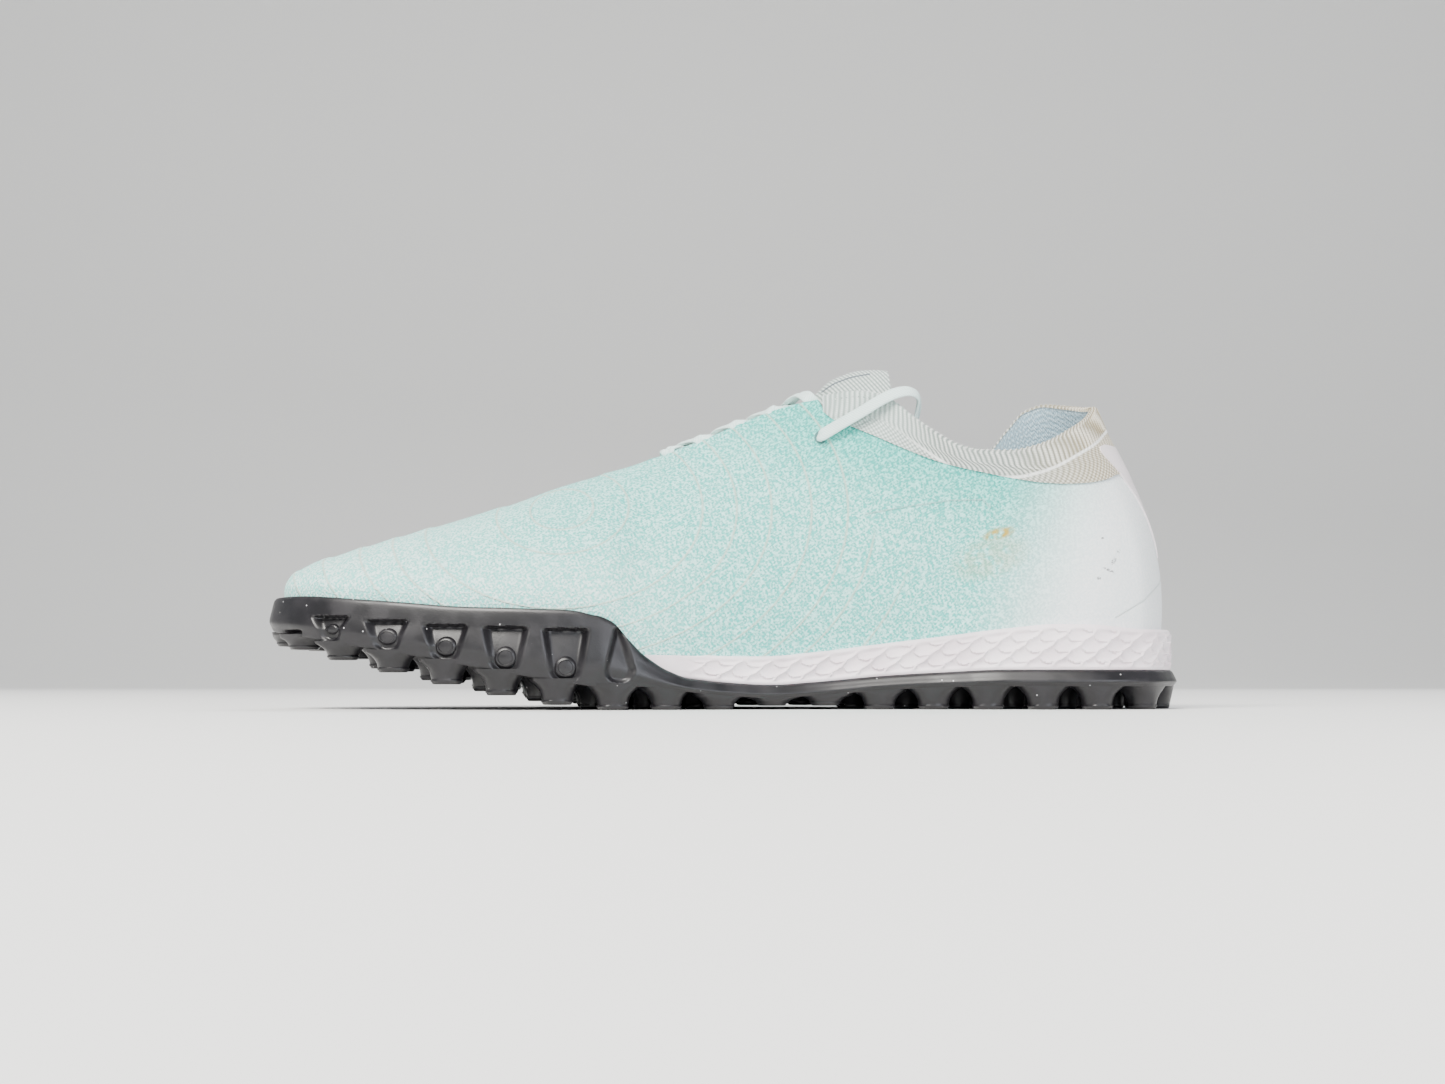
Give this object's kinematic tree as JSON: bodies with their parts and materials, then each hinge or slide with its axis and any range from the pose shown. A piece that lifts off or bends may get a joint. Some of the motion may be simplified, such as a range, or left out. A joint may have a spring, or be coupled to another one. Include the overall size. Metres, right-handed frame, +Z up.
{
  "type": "turf shoe",
  "caption": "Low football turf shoe with a knitted upper, ribbed knit collar and tongue, foam midsole and a studded rubber outsole whose rand wraps the forefoot.",
  "frame": {"origin": "on the ground plane under the lugs, below the middle of the shoe's length and width", "axes": "+X from the toe towards the heel, -Y towards the inner side of the foot, +Z up from the ground"},
  "size_m": [0.29, 0.0988, 0.1094],
  "materials": {
    "black_rubber": "satin moulded rubber",
    "moulded_foam": "matt moulded foam with a scale relief",
    "sock_liner": "matt brushed fabric on foam",
    "mint_knit": "fine knit under a thin satin film, aqua at the collar, pale mint at the toe, near white at the heel",
    "ribbed_knit": "soft ribbed knit",
    "tongue_knit": "soft ribbed knit with diagonal ribs",
    "heel_film": "thin satin film",
    "flat_lace": "flat woven lace with two ribs",
    "free_lace": "flat woven lace with two ribs"
  },
  "bodies": {
    "root": {"outsole": "black_rubber", "midsole": "moulded_foam", "insole": "sock_liner", "upper": "mint_knit", "collar": "ribbed_knit", "tongue": "tongue_knit", "heel_strip": "heel_film", "lace": "flat_lace", "lace_loop": "free_lace"}
  },
  "joints": []
}
